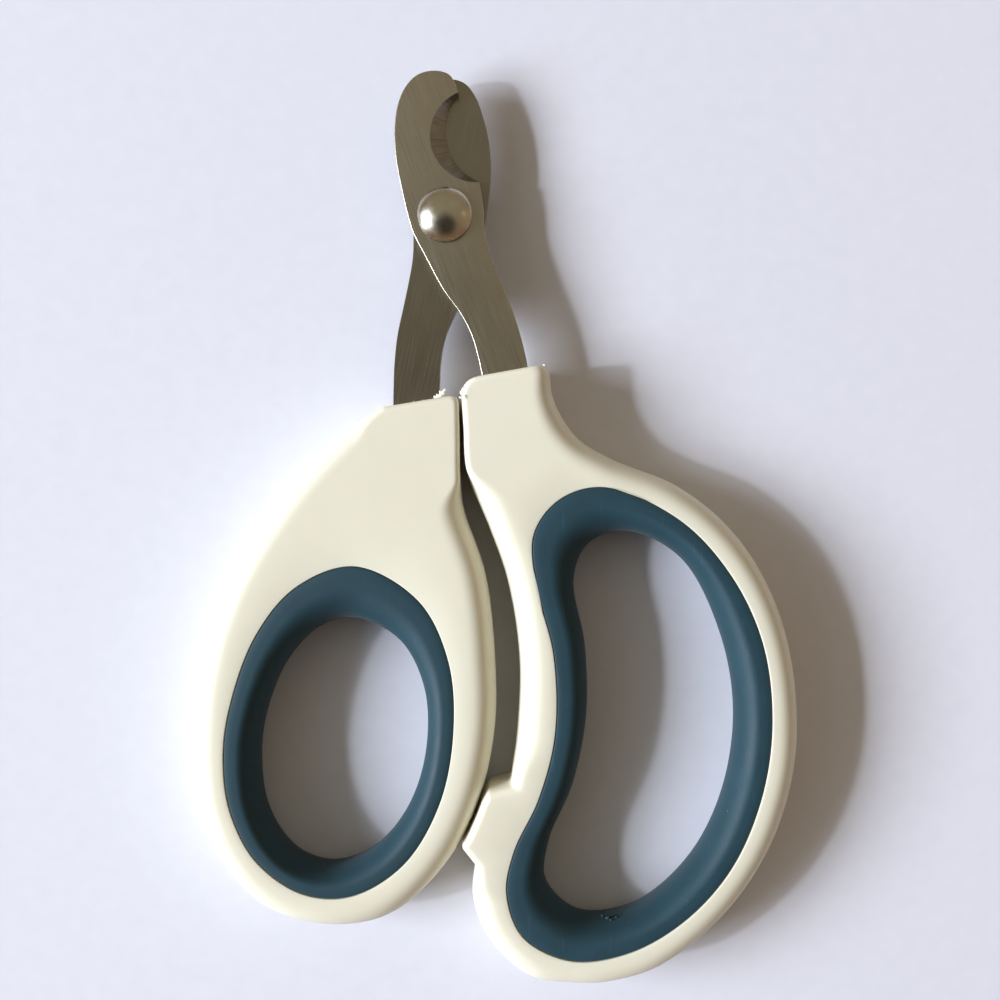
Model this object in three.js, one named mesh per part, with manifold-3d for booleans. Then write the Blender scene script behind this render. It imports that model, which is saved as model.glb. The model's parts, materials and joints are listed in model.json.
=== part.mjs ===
// Pet nail trimmer: a small scissor-action claw clipper, lying flat and closed.
// Two stamped stainless blades cross at a domed rivet. Each blade's tang is moulded
// into a plastic handle, and each handle's finger hole is lined with a soft ring.
// Millimetres. +Z is up through the thickness, +Y points from the handles to the jaws,
// and the front (rivet head) side faces +Z. Plan points are measured from the rivet's axis.
import * as THREE from "three";
import { mergeVertices } from "three/addons/utils/BufferGeometryUtils.js";
import Module from "manifold-3d";

const wasm = await Module();
wasm.setup();

// ---------- driving dimensions ----------

const overallLength = 124.3; // jaw tip to the end of the finger loop, closed
const drawnLength = 124.44; // the length that the plan points below were drawn at
const handleThickness = 10;
const bladeThickness = 1.5;

// Edges of the plastic
const handleRound = 3.4; // how far the soft edge reaches in from the outline
const partingLand = 0.8; // height of the upright band left at mid-thickness
const neckEdge = 0.8; // small edge break where the two necks face each other
const neckCorner = 1.3; // plan radius of the necks' top corners
const flashCorner = 3.0; // the finger handle's inner top corner is rounder

// Soft rings
const gripRoll = 2.4; // how far the ring rolls over from its face into the hole
const gripLand = 0.6; // upright band at the narrowest part of the hole
const webDepth = 1.6; // the plastic web that the soft ring is moulded around
const webThickness = 2.2;

// Blades
const tangWidth = 5.6;
const fingerTangLength = 13;
const thumbTangLength = 15;
const anchorHole = 2.8; // holes in the tang that the plastic flows through
const anchorSpacing = 5.4;
const firstAnchor = 4.4; // from the handle's mouth to the first hole

// Rivet
const shankDiameter = 3.4;
const headDiameter = 7.4;
const headHeight = 2.1;
const headRim = 0.25; // short upright rim under the dome
const peenedDiameter = 5.0;
const peenedHeight = 0.8;
const washerDiameter = 6.8;
const washerThickness = 0.6;

// Clearances
const bladeGap = 0.1; // between the two blades' flat faces
const stackGap = 0.05; // between stacked flat faces at the rivet
const shankGap = 0.1; // radial, rivet shank in the blades and the washer
const seatGap = 0.3; // between a moulded-in piece and its plastic
const stopGap = 0.3; // between the stop and the thumb loop when closed

// Resolution
const loopSteps = 76; // points around a handle's outline
const gripSteps = 60; // points around a soft ring
const edgeSteps = 4; // facets across a quarter-round edge
const roundSteps = 40; // facets around the rivet

const planScale = overallLength / drawnLength;
const middle = handleThickness / 2;
const overshoot = 2; // how far a cutting body runs past what it cuts

// ---------- helpers ----------

const scaled = (points) => points.map(([x, y]) => new THREE.Vector2(x, y).multiplyScalar(planScale));

// A smooth curve through the points, sampled evenly.
function smooth(points, steps, closed) {
  const knots = scaled(points).map((p) => new THREE.Vector3(p.x, p.y, 0));
  const curve = new THREE.CatmullRomCurve3(knots, closed, "centripetal");
  const even = curve.getSpacedPoints(steps).map((p) => new THREE.Vector2(p.x, p.y));
  return closed ? even.slice(0, -1) : even;
}

// A closed polygon whose corners are rounded by arcs of the radii given.
function rounded(points, radii) {
  const path = new THREE.Path();
  const corners = scaled(points);
  corners.forEach((corner, i) => {
    const before = corners.at(i - 1).clone().sub(corner);
    const after = corners[(i + 1) % corners.length].clone().sub(corner);
    const radius = Array.isArray(radii) ? radii[i] : radii;
    const half = before.angleTo(after) / 2;
    const reach = Math.min(radius / Math.tan(half), before.length() / 2.1, after.length() / 2.1);
    const from = corner.clone().add(before.setLength(reach));
    const to = corner.clone().add(after.setLength(reach));
    if (i === 0) path.moveTo(from.x, from.y);
    else path.lineTo(from.x, from.y);
    path.quadraticCurveTo(corner.x, corner.y, to.x, to.y);
  });
  path.closePath();
  const sampled = path.getPoints(3);
  return sampled.filter((p, i) => p.distanceTo(sampled.at(i - 1)) > 1e-3);
}

// The outline moved outwards by a distance, inwards when it is negative, keeping its corners.
function offset(outline, distance) {
  const turn = THREE.ShapeUtils.area(outline) > 0 ? 1 : -1;
  const normal = (from, to) => {
    const along = to.clone().sub(from).normalize();
    return new THREE.Vector2(along.y * turn, -along.x * turn);
  };
  return outline.map((p, i) => {
    const before = normal(outline.at(i - 1), p);
    const after = normal(p, outline[(i + 1) % outline.length]);
    const reach = distance / (1 + before.dot(after));
    return p.clone().addScaledVector(before.add(after), reach);
  });
}

// A three.js geometry as a solid that can be cut and joined.
function solid(geometry) {
  const bare = geometry.index ? geometry.toNonIndexed() : geometry.clone();
  bare.deleteAttribute("normal");
  bare.deleteAttribute("uv");
  const merged = mergeVertices(bare, 1e-4);
  // A lathe's triangles at the axis have no area, and are left out.
  const corners = [];
  for (let i = 0; i < merged.index.count; i += 3) {
    const [a, b, c] = merged.index.array.subarray(i, i + 3);
    if (a !== b && b !== c && c !== a) corners.push(a, b, c);
  }
  return new wasm.Manifold(
    new wasm.Mesh({
      numProp: 3,
      vertProperties: merged.attributes.position.array,
      triVerts: new Uint32Array(corners),
    }),
  );
}

// A flat-sided slab of the outline between two heights, with holes if there are any.
function slab(outline, low, high, holes = []) {
  const shape = new THREE.Shape(outline);
  shape.holes = holes.map((hole) => new THREE.Path(hole));
  const made = new THREE.ExtrudeGeometry(shape, { depth: high - low, bevelEnabled: false });
  return solid(made.translate(0, 0, low));
}

// A slab through the whole thickness whose edges are quarter-ellipses: `reach` in plan,
// and as high as leaves an upright band of `land` at mid-thickness.
function softSlab(outline, reach, land, holes = []) {
  const shape = new THREE.Shape(outline);
  shape.holes = holes.map((hole) => new THREE.Path(hole));
  const made = new THREE.ExtrudeGeometry(shape, {
    depth: land,
    bevelEnabled: true,
    bevelSegments: edgeSteps,
    bevelSize: reach,
    bevelOffset: -reach,
    bevelThickness: (handleThickness - land) / 2,
  });
  return solid(made.translate(0, 0, middle - land / 2));
}

function pin(radius, low, high, at) {
  const made = new THREE.CylinderGeometry(radius, radius, high - low, roundSteps);
  made.rotateX(Math.PI / 2).translate(at.x, at.y, (low + high) / 2);
  return solid(made);
}

function mesh(name, body, material) {
  const data = body.getMesh();
  const stride = data.numProp;
  const corners = new Float32Array(data.numVert * 3);
  for (let i = 0; i < data.numVert; i++) {
    corners.set(data.vertProperties.subarray(i * stride, i * stride + 3), i * 3);
  }
  const geometry = new THREE.BufferGeometry();
  geometry.setAttribute("position", new THREE.BufferAttribute(corners, 3));
  geometry.setIndex(new THREE.BufferAttribute(new Uint32Array(data.triVerts), 1));
  geometry.computeVertexNormals();
  const made = new THREE.Mesh(geometry, material);
  made.name = name;
  return made;
}

// ---------- materials ----------

const ivoryPlastic = new THREE.MeshStandardMaterial({ color: 0xebe6d3, roughness: 0.45, metalness: 0 });
const blueRubber = new THREE.MeshStandardMaterial({ color: 0x2c4f60, roughness: 0.7, metalness: 0 });
const bladeSteel = new THREE.MeshStandardMaterial({ color: 0x8b877a, roughness: 0.4, metalness: 1 });
const rivetNickel = new THREE.MeshStandardMaterial({ color: 0xc9c5b8, roughness: 0.15, metalness: 1 });

// ---------- where the two blades lie ----------

// side is 1 for the front blade, above the contact plane, and -1 for the rear one.
function bladeLevels(side) {
  const inner = middle + (side * bladeGap) / 2;
  const outer = inner + side * bladeThickness;
  return { inner, outer, low: Math.min(inner, outer), high: Math.max(inner, outer) };
}

// A tang runs from the middle of the handle's mouth into the plastic.
function tang(mouth, towards, length) {
  const [start, aim] = scaled([mouth, towards]);
  const along = aim.clone().sub(start).normalize();
  const across = new THREE.Vector2(-along.y, along.x);
  const at = (distance, sideways) =>
    start.clone().addScaledVector(along, distance).addScaledVector(across, sideways);
  const anchors = [firstAnchor, firstAnchor + anchorSpacing].map((d) => at(d, 0));
  // The inner part of the tang with its end corners cut, grown all round by `by`.
  const outline = (by) => {
    const half = tangWidth / 2 + by;
    const end = length + by;
    const cut = 1.2;
    return [
      at(-1, half), at(end - cut, half), at(end, half - cut),
      at(end, cut - half), at(end - cut, -half), at(-1, -half),
    ];
  };
  return { anchors, outline, mouthPoint: start, along, across };
}
const fingerTang = tang([8.2, -22.8], [10.0, -32.3], fingerTangLength);
const thumbTang = tang([-3.95, -26.6], [-4.3, -41], thumbTangLength);

// ---------- blades ----------

// The nail notch is a slanting cone: the cutting edge is its circle in the contact plane,
// and the ground bevel opens to a tighter circle, set further in, on the outer face.
const edgeCircle = { x: 7.6, y: 11.9, radius: 7.6 };
const bevelCircle = { x: 4.35, y: 10.85, radius: 6.4 };

function notch(levels, mirror) {
  const rise = levels.outer - levels.inner;
  const run = overshoot / Math.abs(rise);
  // The cone's circle at a height given as a share of the way from the inner to the outer face.
  const circle = (share) => ({
    x: mirror * (edgeCircle.x + (bevelCircle.x - edgeCircle.x) * share) * planScale,
    y: (edgeCircle.y + (bevelCircle.y - edgeCircle.y) * share) * planScale,
    radius: (edgeCircle.radius + (bevelCircle.radius - edgeCircle.radius) * share) * planScale,
    z: levels.inner + rise * share,
  });
  const ends = [circle(-run / 8), circle(1 + run / 8)].sort((a, b) => a.z - b.z);
  const [low, high] = ends;
  const height = high.z - low.z;
  const cone = new THREE.CylinderGeometry(high.radius, low.radius, height, roundSteps * 2);
  cone.rotateX(Math.PI / 2);
  const slant = new THREE.Matrix4().set(
    1, 0, (high.x - low.x) / height, (high.x + low.x) / 2,
    0, 1, (high.y - low.y) / height, (high.y + low.y) / 2,
    0, 0, 1, (high.z + low.z) / 2,
    0, 0, 0, 1,
  );
  return solid(cone.applyMatrix4(slant));
}

// The outline runs down the left edge, across the shoulder where the narrower tang begins,
// and up the right edge to the jaw.
function bladePlan(side, root, leftEdge, rightEdge, heel) {
  const outline = [...smooth(leftEdge, 34, false), ...smooth(rightEdge, 28, false), ...scaled([heel])];
  return { side, root, outline, levels: bladeLevels(side) };
}

const frontPlan = bladePlan(1, fingerTang, [
  [1.6, 17.6], [0.6, 19.2], [-1.4, 19.8], [-3.7, 19.2], [-5.4, 17.5], [-6.5, 14.8], [-6.9, 11.0],
  [-6.6, 7.0], [-6.0, 3.9], [-4.5, -2.0], [-2.8, -5.4], [-0.2, -10.2], [2.1, -13.4], [3.6, -16.3],
  [4.5, -19.3], [5.2, -22.6], [5.6, -24.6],
], [
  [11.5, -24.0], [11.3, -20.6], [10.5, -17.0], [9.5, -13.7], [7.5, -8.7], [6.2, -5.1], [5.4, -2.0],
  [5.3, 0.6], [5.0, 2.8], [4.7, 4.5],
], [1.85, 16.6]);

const rearPlan = bladePlan(-1, thumbTang, [
  [-4.6, 4.4], [-4.5, 1.5], [-4.4, -1.5], [-4.5, -5.6], [-5.0, -8.6], [-5.8, -12.4], [-6.6, -16.2],
  [-7.0, -19.8], [-7.15, -23.4], [-7.2, -28.0],
], [
  [-0.8, -28.0], [-0.75, -23.0], [-0.6, -19.8], [0.1, -16.2], [1.5, -12.9], [3.4, -8.6], [4.7, -4.2],
  [5.7, 0.6], [6.2, 4.6], [6.3, 7.4], [6.0, 10.6], [5.3, 13.6], [4.2, 16.6], [2.7, 18.5], [0.6, 19.1],
  [-1.1, 18.4],
], [-1.7, 16.7]);

function blade({ side, root, outline, levels }) {
  const { low, high } = levels;
  const inside = slab(root.outline(0), low, high);
  let made = slab(outline, low, high).add(inside).subtract(notch(levels, side));
  made = made.subtract(pin(shankDiameter / 2 + shankGap, low - 1, high + 1, new THREE.Vector2()));
  root.anchors.forEach((at) => {
    made = made.subtract(pin(anchorHole / 2, low - 1, high + 1, at));
  });
  return made;
}

// ---------- rivet ----------

const headSeat = frontPlan.levels.high + stackGap;
const washerTop = rearPlan.levels.low - stackGap;
const washerBottom = washerTop - washerThickness;

// One piece: domed head, shank through both blades, and the end peened over the washer.
function rivet() {
  const headRadius = headDiameter / 2;
  const domeHeight = headHeight - headRim;
  const domeRadius = (headRadius ** 2 + domeHeight ** 2) / (2 * domeHeight);
  const domeCentre = headSeat + headHeight - domeRadius;
  const sweep = Math.asin(headRadius / domeRadius);
  const dome = Array.from({ length: 9 }, (_, i) => {
    const angle = sweep * (1 - i / 8);
    return new THREE.Vector2(i === 8 ? 0 : domeRadius * Math.sin(angle), domeCentre + domeRadius * Math.cos(angle));
  });
  const peenSeat = washerBottom - stackGap;
  const profile = [
    [0, peenSeat - peenedHeight],
    [peenedDiameter / 2 - 0.9, peenSeat - peenedHeight],
    [peenedDiameter / 2 - 0.25, peenSeat - peenedHeight * 0.7],
    [peenedDiameter / 2, peenSeat - peenedHeight * 0.3],
    [peenedDiameter / 2, peenSeat],
    [shankDiameter / 2, peenSeat],
    [shankDiameter / 2, headSeat],
    [headRadius, headSeat],
  ].map(([r, z]) => new THREE.Vector2(r, z));
  return turned([...profile, ...dome]);
}

function rivetWasher() {
  const hole = shankDiameter / 2 + shankGap;
  const rim = washerDiameter / 2;
  const profile = [[hole, washerBottom], [rim, washerBottom], [rim, washerTop], [hole, washerTop], [hole, washerBottom]];
  return turned(profile.map(([r, z]) => new THREE.Vector2(r, z)));
}

// A profile of radius and height, from low to high, turned about the rivet's axis.
function turned(profile) {
  return solid(new THREE.LatheGeometry(profile, roundSteps).rotateX(Math.PI / 2));
}

// ---------- finger holes and soft rings ----------

const thumbRing = {
  edge: smooth([
    [-12.1, -48.0], [-19.6, -50.5], [-25.2, -57.2], [-28.8, -67.4], [-29.5, -74.0], [-28.6, -80.6],
    [-25.2, -87.2], [-19.0, -91.6], [-12.4, -92.0], [-5.4, -87.8], [-0.6, -79.8], [1.2, -70.2],
    [0.3, -60.6], [-3.4, -52.5],
  ], gripSteps, true),
  hole: smooth([
    [-12.6, -54.9], [-17.2, -56.2], [-21.7, -60.8], [-24.8, -68.4], [-25.5, -74.8], [-24.4, -81.8],
    [-20.6, -87.3], [-15.6, -88.9], [-9.8, -86.8], [-5.2, -81.4], [-2.6, -73.4], [-2.8, -64.6],
    [-6.2, -58.0],
  ], gripSteps, true),
};

const fingerRing = {
  edge: smooth([
    [21.5, -37.2], [15.6, -38.8], [12.1, -43.4], [12.4, -50.4], [14.7, -59.6], [14.9, -70.4],
    [12.7, -79.0], [9.4, -86.0], [8.4, -91.6], [10.6, -97.4], [17.0, -100.6], [24.8, -99.6],
    [32.4, -95.2], [38.6, -88.2], [42.6, -78.8], [44.0, -69.0], [42.8, -58.4], [38.6, -49.2],
    [31.6, -41.6],
  ], gripSteps + 12, true),
  hole: smooth([
    [25.0, -43.1], [19.6, -44.8], [17.6, -49.6], [19.1, -58.6], [19.3, -68.4], [17.4, -77.8],
    [14.2, -85.4], [13.8, -91.2], [18.3, -95.6], [26.0, -94.9], [33.3, -88.9], [38.0, -80.1],
    [39.9, -68.6], [38.0, -57.2], [32.6, -46.9],
  ], gripSteps + 12, true),
};

const webLow = middle - webThickness / 2;
const webHigh = middle + webThickness / 2;

// The soft ring: rolled over into the hole, and moulded around the handle's web.
function softRing({ edge, hole }) {
  const rolled = softSlab(offset(edge, 2 * gripRoll), gripRoll, gripLand, [hole]);
  const trimmed = rolled.intersect(slab(offset(edge, -seatGap), -overshoot, handleThickness + overshoot));
  const groove = slab(offset(edge, overshoot), webLow - seatGap, webHigh + seatGap, [
    offset(edge, -(webDepth + seatGap)),
  ]);
  return trimmed.subtract(groove);
}

// Opens the handle for its soft ring and leaves the web standing into the ring.
function openForRing(body, { edge }) {
  const web = slab(offset(edge, 0.4), webLow, webHigh, [offset(edge, -webDepth)]);
  return body.subtract(slab(edge, -overshoot, handleThickness + overshoot)).add(web);
}

// Cuts a blade's seat, leaving the pillars of plastic that filled its tang's anchor holes.
function seatBlade(body, { root, outline, levels }) {
  const low = levels.low - seatGap;
  const high = levels.high + seatGap;
  let seat = slab(root.outline(seatGap), low, high).add(slab(offset(outline, seatGap), low, high));
  root.anchors.forEach((at) => {
    seat = seat.subtract(pin(anchorHole / 2 - seatGap, low - 1, high + 1, at));
  });
  return body.subtract(seat);
}

// ---------- handles ----------

// Each handle is a soft-edged loop joined to a neck block with only a small edge break,
// both longer than needed, and then trimmed to the neck's straight wall and flat end.
const thumbOutline = smooth([
  [6.0, -12.0], [3.0, -6.0], [-3.0, -4.5], [-8.0, -9.0], [-8.2, -18.0], [-8.0, -25.9],
  [-12.8, -28.6], [-18.2, -33.7], [-23.4, -40.2], [-28.0, -47.5], [-31.4, -55.4], [-33.4, -63.6],
  [-34.0, -72.4], [-33.3, -80.3], [-30.2, -88.2], [-24.4, -94.2], [-15.8, -96.7], [-7.4, -95.3],
  [-0.3, -89.1], [4.4, -80.6], [6.8, -70.4], [6.8, -59.4], [5.5, -48.8], [2.6, -40.2],
  [2.3, -37.6], [2.4, -30.0], [4.0, -20.0],
], loopSteps, true);

const fingerOutline = smooth([
  [8.0, -2.0], [13.0, -5.4], [14.2, -12.0], [14.1, -20.0], [14.9, -25.2], [18.0, -30.3],
  [22.6, -33.2], [31.4, -36.8], [38.1, -41.9], [43.0, -48.4], [46.4, -56.6], [48.0, -66.6],
  [47.5, -76.3], [44.1, -86.6], [37.9, -95.5], [29.3, -102.3], [22.0, -104.5], [17.0, -104.6],
  [12.1, -103.9], [8.5, -101.5], [5.1, -97.1], [3.8, -92.7], [4.2, -88.2], [8.0, -80.6],
  [9.9, -70.4], [10.2, -60.4], [8.6, -50.0], [6.2, -43.0], [3.3, -35.6], [2.8, -31.0],
  [2.3, -24.0], [1.6, -14.0], [3.0, -5.4],
], loopSteps + 12, true);

// A slab through the whole thickness with its edges just broken.
function edged(points, radii) {
  const made = new THREE.ExtrudeGeometry(new THREE.Shape(rounded(points, radii)), {
    depth: handleThickness - 2 * neckEdge,
    bevelEnabled: true,
    bevelSegments: 2,
    bevelSize: neckEdge,
    bevelOffset: -neckEdge,
    bevelThickness: neckEdge,
  });
  return solid(made.translate(0, 0, neckEdge));
}

function thumbHandle() {
  const loop = softSlab(thumbOutline, handleRound, partingLand);
  const block = edged([[-6, -16], [4, -16], [4, -33.8], [-1.6, -41.1], [-6, -41.1]], 0);
  // Clockwise from the flat end's left: the end, the straight wall, and then clear of the loop.
  const limits = edged(
    [[-40, -31.8], [2.0, -24.7], [2.25, -38.3], [20, -46], [20, -110], [-40, -110]],
    [0, neckCorner, 0, 0, 0, 0],
  );
  const body = loop.add(block).intersect(limits);
  return openForRing(seatBlade(body, rearPlan), thumbRing);
}

// The stop meets the thumb loop when the trimmer is closed, and takes its face from it.
function stop() {
  const block = [
    [11.0, -76.6], [6.1, -77.9], [5.2, -79.0], [1.8, -84.2], [2.0, -85.4], [4.6, -88.5], [9.0, -88.6], [10.0, -83.0],
  ];
  const corners = [0, 0.6, 0.6, 0.6, 0.6, 0, 0, 0];
  const inset = 0.5; // the stop is a little thinner than the handle
  const whole = slab(rounded(block, corners), inset, handleThickness - inset);
  return whole.subtract(slab(offset(thumbOutline, stopGap), -overshoot, handleThickness + overshoot));
}

function fingerHandle() {
  const loop = softSlab(fingerOutline, handleRound, partingLand);
  const block = edged([[0, -14], [9, -14], [9, -41], [7.6, -41], [0, -30.6]], 0);
  // Clockwise from the straight wall's top: the flat end, clear of the loop, and the wall.
  const limits = edged(
    [[2.15, -22.7], [14.3, -20.5], [14.9, -24.4], [60, -27], [60, -115], [-10, -115], [-10, -37], [3.1, -35.2]],
    [flashCorner, neckCorner, 0, 0, 0, 0, 0, 0],
  );
  const body = loop.add(block).intersect(limits).add(stop());
  return openForRing(seatBlade(body, frontPlan), fingerRing);
}

// ---------- assembly ----------

const trimmer = new THREE.Group();
trimmer.add(
  mesh("front_blade", blade(frontPlan), bladeSteel),
  mesh("rear_blade", blade(rearPlan), bladeSteel),
  mesh("pivot_rivet", rivet(), rivetNickel),
  mesh("rivet_washer", rivetWasher(), bladeSteel),
  mesh("finger_handle", fingerHandle(), ivoryPlastic),
  mesh("thumb_handle", thumbHandle(), ivoryPlastic),
  mesh("finger_grip_ring", softRing(fingerRing), blueRubber),
  mesh("thumb_grip_ring", softRing(thumbRing), blueRubber),
);

// The origin is the middle of the part's box, on the surface that it lies on.
const extent = new THREE.Box3().setFromObject(trimmer);
const centre = extent.getCenter(new THREE.Vector3());
trimmer.position.set(-centre.x, -centre.y, -extent.min.z);

export default trimmer;
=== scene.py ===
# %% [markdown]
# # A pet nail trimmer, closed and lying on its back
# Two stamped steel blades cross at a domed rivet. Each blade ends in a plastic handle that
# was moulded around it, and each handle's hole is lined with a soft ring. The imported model
# gives the frame: where the rivet's axis is, how high each layer lies, and which pieces move
# together. Every piece below but the moulding flash is a finer copy of one of its solids.

# %% Load the frame
import json
import random
from math import asin, atan2, cos, pi, radians, sin, sqrt, tan

import bmesh
import bpy
import numpy as np
from mathutils import Matrix, Vector
from mathutils.geometry import interpolate_bezier
from numpy.linalg import norm


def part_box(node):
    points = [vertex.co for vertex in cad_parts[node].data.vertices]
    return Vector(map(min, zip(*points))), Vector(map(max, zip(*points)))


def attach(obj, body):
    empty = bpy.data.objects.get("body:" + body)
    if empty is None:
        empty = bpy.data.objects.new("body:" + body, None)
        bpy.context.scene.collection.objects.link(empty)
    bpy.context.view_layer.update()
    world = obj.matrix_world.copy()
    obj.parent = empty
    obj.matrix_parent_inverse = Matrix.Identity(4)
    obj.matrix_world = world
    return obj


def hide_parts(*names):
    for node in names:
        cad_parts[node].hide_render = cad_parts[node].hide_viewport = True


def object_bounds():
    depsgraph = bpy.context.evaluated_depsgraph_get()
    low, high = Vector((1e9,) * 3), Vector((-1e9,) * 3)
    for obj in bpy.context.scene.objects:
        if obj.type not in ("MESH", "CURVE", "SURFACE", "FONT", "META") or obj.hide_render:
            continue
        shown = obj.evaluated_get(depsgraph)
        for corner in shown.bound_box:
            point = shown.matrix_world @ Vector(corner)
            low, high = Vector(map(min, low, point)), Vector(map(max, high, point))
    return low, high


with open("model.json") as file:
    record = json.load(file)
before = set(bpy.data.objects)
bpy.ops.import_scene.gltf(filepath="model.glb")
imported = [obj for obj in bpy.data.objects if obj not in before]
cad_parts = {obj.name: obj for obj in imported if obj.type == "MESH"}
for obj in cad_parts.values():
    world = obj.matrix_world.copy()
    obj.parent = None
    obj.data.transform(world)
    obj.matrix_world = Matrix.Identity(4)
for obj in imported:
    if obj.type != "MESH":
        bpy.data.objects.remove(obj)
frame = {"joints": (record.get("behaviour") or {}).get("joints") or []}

cad_low, cad_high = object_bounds()
MM = 0.001
axis = Vector(frame["joints"][0]["pos_m"])

# %% [markdown]
# ## Curves
# A designer draws these outlines as a few points with a smooth curve through them. A
# centripetal Catmull-Rom curve never loops or overshoots between uneven points, and each of
# its spans is a Bezier span, which Blender can sample. Plan points are in millimetres from
# the rivet's axis, and run anticlockwise, so that the solid is always on the left.

# %% A smooth curve through points
DRAWN_LENGTH = 124.44   # the overall length, in millimetres, that the points were drawn at
PLAN_SCALE = (cad_high.y - cad_low.y) / MM / DRAWN_LENGTH
SPAN_SAMPLES = 24       # points taken on each Bezier span


def even(places, spacing, closed=False):
    """Points evenly spaced along a chain of points."""
    chain = np.array(list(places) + ([places[0]] if closed else []), float)
    run = np.append(0, np.cumsum(norm(np.diff(chain, axis=0), axis=1)))
    at = np.linspace(0, run[-1], max(2, round(run[-1] / spacing) + 1))
    made = np.column_stack([np.interp(at, run, chain[:, k]) for k in (0, 1)])
    return made[:-1] if closed else made


def smooth(points, spacing, closed=False):
    """Evenly spaced points on a centripetal curve through the points given."""
    knots = [Vector(p).to_3d() * PLAN_SCALE for p in points]
    if closed:
        knots = [knots[-1], *knots, knots[0], knots[1]]
    else:
        knots = [2 * knots[0] - knots[1], *knots, 2 * knots[-1] - knots[-2]]
    curve = []
    for a, b, c, d in zip(knots, knots[1:], knots[2:], knots[3:]):
        ab, bc, cd = (sqrt((q - p).length) for p, q in ((a, b), (b, c), (c, d)))
        leave = ((b - a) / ab - (c - a) / (ab + bc) + (c - b) / bc) * bc
        arrive = ((c - b) / bc - (d - b) / (bc + cd) + (d - c) / cd) * bc
        curve += interpolate_bezier(b, b + leave / 3, c - arrive / 3, c, SPAN_SAMPLES)[:-1]
    if not closed:
        curve.append(knots[-2])
    return even([p.to_2d() for p in curve], spacing, closed)


def scaled(*points):
    """Corner points, brought to the frame's size as the curves are."""
    return np.array(points, float) * PLAN_SCALE


def inward(places, closed=True):
    """Unit normals that point into the solid, to the left of the way along."""
    if closed:
        way = np.roll(places, -1, axis=0) - np.roll(places, 1, axis=0)
    else:
        way = np.gradient(places, axis=0)
    way = way / norm(way, axis=1)[:, None]
    return np.column_stack([-way[:, 1], way[:, 0]])


print("plan scale", round(PLAN_SCALE, 5))

# %% [markdown]
# ## Rings of edges
# Most pieces here are a skin that is drawn up from ring to ring: extrude a ring of edges,
# move the new ring to its place, and repeat. A circle with enough segments is the first
# ring, and its points are slid to the outline.

# %% Start a ring and draw it up


def start_ring(bm, places):
    """A closed ring of edges, made as a circle and slid to the places given."""
    ring = bmesh.ops.create_circle(bm, segments=len(places), radius=1.0)["verts"]
    for vert, place in zip(ring, places):
        vert.co = place
    return ring


def edges_of(ring):
    """The edges between each point of a ring and the next."""
    found = []
    for here, there in zip(ring, ring[1:] + ring[:1]):
        found.append(next(e for e in here.link_edges if e.other_vert(here) is there))
    return found


def draw_up(bm, ring, places):
    """Extrudes a ring of edges and moves the new ring to its places."""
    made = bmesh.ops.extrude_edge_only(bm, edges=edges_of(ring))["geom"]
    fresh = {g for g in made if isinstance(g, bmesh.types.BMVert)}
    new = []
    for vert, place in zip(ring, places):
        partner = next(e.other_vert(vert) for e in vert.link_edges if e.other_vert(vert) in fresh)
        partner.co = place
        new.append(partner)
    return new


def at_height(places, height):
    """Plan places, lifted to a height."""
    return [Vector((x, y, height)) for x, y in places]


def cap(bm, *rings):
    """Fills the flat face between an outer ring and the rings of its holes."""
    edges = [edge for ring in rings for edge in edges_of(ring)]
    bmesh.ops.triangle_fill(bm, use_beauty=True, use_dissolve=False, edges=edges)


# %% [markdown]
# ## Finishing a piece
# Every piece ends the same way: doubles are merged, faces are turned outwards and shaded
# smooth, and edges that turn sharply are marked crisp. Rounded edges are drawn, so no Bevel
# modifier is needed. Last, the piece is moved to its place in the frame.

# %% Finish a piece and put it in the frame
SHARP = radians(28)    # an edge that turns by more than this is crisp
MERGE = 0.001          # points closer than this, in millimetres, are one


def in_scene(name, data):
    """A new object with this mesh, lamp or camera, put in the scene."""
    made = bpy.data.objects.new(name, data)
    bpy.context.scene.collection.objects.link(made)
    return made


def finish_piece(bm, name, body, materials, stands_for=(), sharp=SHARP):
    """Turns a bmesh in plan millimetres into a piece in the frame, riding on its body."""
    bmesh.ops.remove_doubles(bm, verts=bm.verts, dist=MERGE)
    bmesh.ops.recalc_face_normals(bm, faces=bm.faces)
    for face in bm.faces:
        face.smooth = True
    for edge in bm.edges:
        edge.smooth = len(edge.link_faces) == 2 and edge.calc_face_angle(0.0) < sharp
    place = Matrix.Translation((axis.x, axis.y, 0)) @ Matrix.Scale(MM, 4)
    bmesh.ops.transform(bm, matrix=place, verts=bm.verts)
    loose = sum(1 for edge in bm.edges if len(edge.link_faces) != 2)
    mesh = bpy.data.meshes.new(name)
    bm.to_mesh(mesh)
    bm.free()
    for material in materials:
        mesh.materials.append(material)
    piece = in_scene(name, mesh)
    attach(piece, body)
    if stands_for:
        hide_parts(*stands_for)
    print(name, len(mesh.polygons), "faces,", loose, "open edges")
    return piece


# %% [markdown]
# ## Materials: one helper for nodes, one for colours
# Each finish is a small tree of nodes. One function adds a node with its settings and its
# links, and another turns an sRGB hex colour to the linear values that the shader needs.
# Patterns read Object coordinates, which are metres here, so a pattern's scale is one over
# its real size in metres.

# %% Colour and node helpers


def colour(hex_code):
    """An sRGB hex colour as linear red, green, blue and alpha."""
    parts = [int(hex_code[i:i + 2], 16) / 255 for i in (0, 2, 4)]
    return [c / 12.92 if c <= 0.04045 else ((c + 0.055) / 1.055) ** 2.4 for c in parts] + [1.0]


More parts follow.
